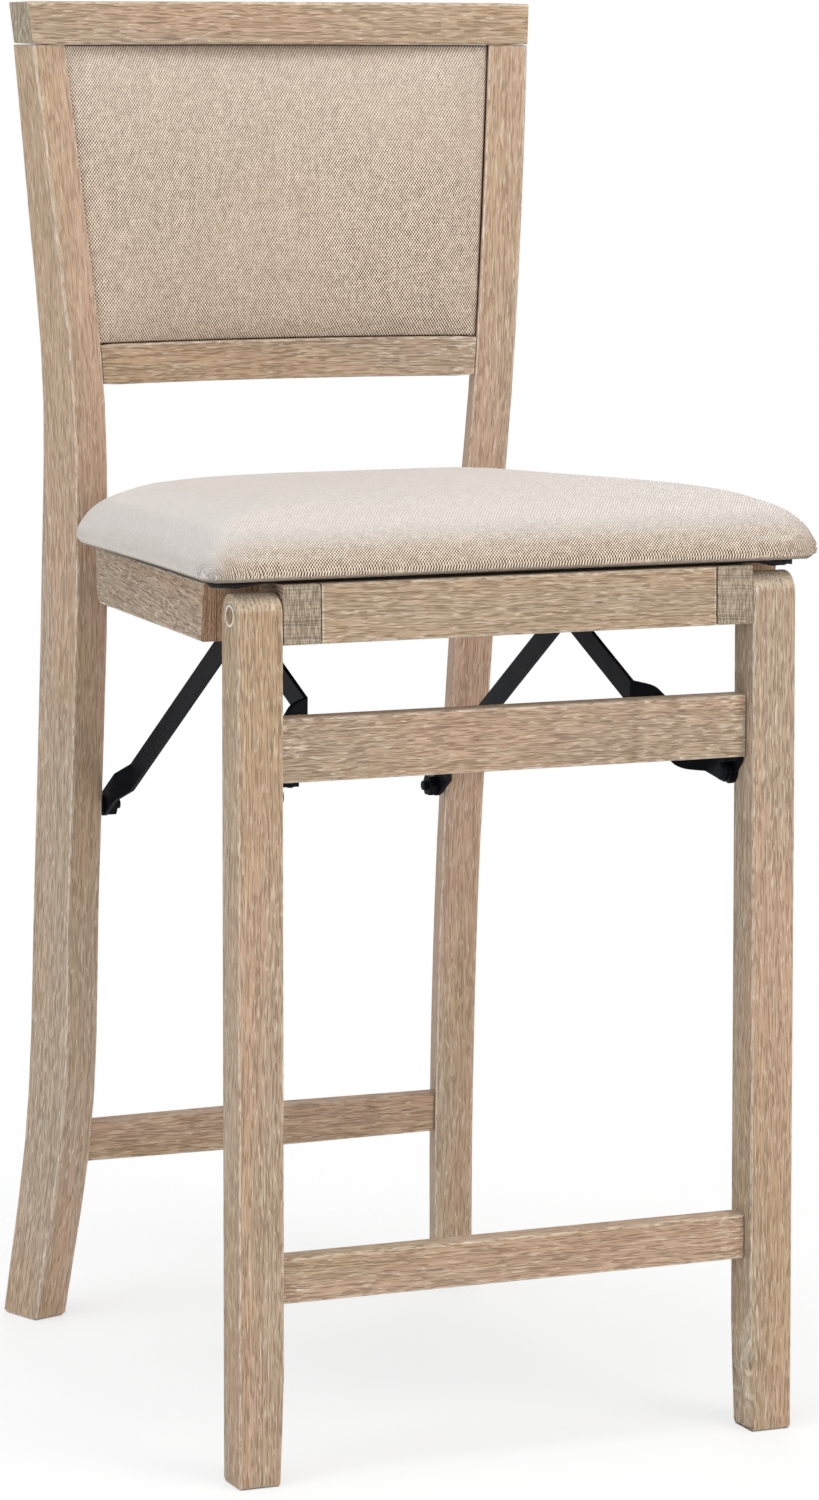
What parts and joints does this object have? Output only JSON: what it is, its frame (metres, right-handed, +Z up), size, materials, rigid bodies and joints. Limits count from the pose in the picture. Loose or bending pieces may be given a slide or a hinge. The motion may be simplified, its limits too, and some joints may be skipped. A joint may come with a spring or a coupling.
{
  "type": "folding bar stool",
  "caption": "Wooden folding bar stool with a curved padded back, an upholstered seat, a front footrest bar and jointed steel strap braces under the seat.",
  "frame": {"origin": "on the floor, under the middle of the stool's overall box", "axes": "+Z up; the stool faces -Y, so +Y runs from the front legs to the back posts, and +X is to the right for a viewer who faces the stool"},
  "size_m": [0.4582, 0.5182, 0.98],
  "materials": {
    "brushed_wood": "brushed pale grey-brown stain with white-filled grain",
    "linen": "plain woven beige linen",
    "black_steel": "semi-gloss black",
    "plywood": "raw",
    "underlining": "black non-woven cloth",
    "brass_insert": "plain"
  },
  "bodies": {
    "back_frame": {"back_post_left": "brushed_wood", "back_post_right": "brushed_wood", "crest_rail": "brushed_wood", "lower_back_rail": "brushed_wood", "rear_stretcher": "brushed_wood", "back_pad": "linen", "post_pivot_bolt_left": "black_steel", "post_pivot_bolt_right": "black_steel", "post_pivot_nut_left": "black_steel", "post_pivot_nut_right": "black_steel", "seat_rest_left": "black_steel", "seat_rest_right": "black_steel"},
    "rear_brace_left": {"rear_brace_left": "black_steel"},
    "rear_brace_right": {"rear_brace_right": "black_steel"},
    "seat": {"seat_rail_left": "brushed_wood", "seat_rail_right": "brushed_wood", "front_apron": "brushed_wood", "rear_apron": "brushed_wood", "front_corner_block_left": "brushed_wood", "front_corner_block_right": "brushed_wood", "rear_corner_block_left": "brushed_wood", "rear_corner_block_right": "brushed_wood", "seat_board": "plywood", "dust_cover": "underlining", "seat_cushion": "linen", "seat_stud_left": "black_steel", "seat_stud_right": "black_steel", "leg_pivot_insert_left": "brass_insert", "leg_pivot_insert_right": "brass_insert"},
    "front_frame": {"front_leg_left": "brushed_wood", "front_leg_right": "brushed_wood", "upper_front_rail": "brushed_wood", "footrest_stretcher": "brushed_wood", "leg_pivot_bolt_left": "black_steel", "leg_pivot_bolt_right": "black_steel", "leg_plug_left": "brushed_wood", "leg_plug_right": "brushed_wood", "brace_bracket_left": "black_steel", "brace_bracket_right": "black_steel", "bracket_pin_left": "black_steel", "bracket_pin_right": "black_steel"},
    "front_brace_left": {"front_brace_left": "black_steel", "apex_rivet_left": "black_steel"},
    "front_brace_right": {"front_brace_right": "black_steel", "apex_rivet_right": "black_steel"}
  },
  "joints": [
    {"name": "rear_brace_left_pivot", "type": "hinge", "parent": "back_frame", "child": "rear_brace_left", "pos_m": [0, 0.18999, 0.391], "axis": [1, 0, 0], "range_deg": [-27.01, 0]},
    {"name": "rear_brace_right_pivot", "type": "hinge", "parent": "back_frame", "child": "rear_brace_right", "pos_m": [0, 0.18999, 0.391], "axis": [1, 0, 0], "range_deg": [-27.01, 0]},
    {"name": "seat_fold", "type": "hinge", "parent": "rear_brace_left", "child": "seat", "pos_m": [0, -0.10025, 0.5867], "axis": [1, 0, 0], "range_deg": [0, 104]},
    {"name": "leg_fold", "type": "hinge", "parent": "seat", "child": "front_frame", "pos_m": [0, -0.23215, 0.583], "axis": [1, 0, 0], "range_deg": [-58.52, 0]},
    {"name": "front_brace_left_pivot", "type": "hinge", "parent": "front_frame", "child": "front_brace_left", "pos_m": [0, -0.21815, 0.4588], "axis": [1, 0, 0], "range_deg": [0, 41.2]},
    {"name": "front_brace_right_pivot", "type": "hinge", "parent": "front_frame", "child": "front_brace_right", "pos_m": [0, -0.21815, 0.4588], "axis": [1, 0, 0], "range_deg": [0, 41.2]}
  ],
  "couplings": [
    {"joint": "rear_brace_left_pivot", "follows": "seat_fold", "ratio": -0.25961},
    {"joint": "rear_brace_right_pivot", "follows": "seat_fold", "ratio": -0.25961},
    {"joint": "leg_fold", "follows": "seat_fold", "ratio": -0.56258},
    {"joint": "front_brace_left_pivot", "follows": "seat_fold", "ratio": 0.39609},
    {"joint": "front_brace_right_pivot", "follows": "seat_fold", "ratio": 0.39609}
  ]
}
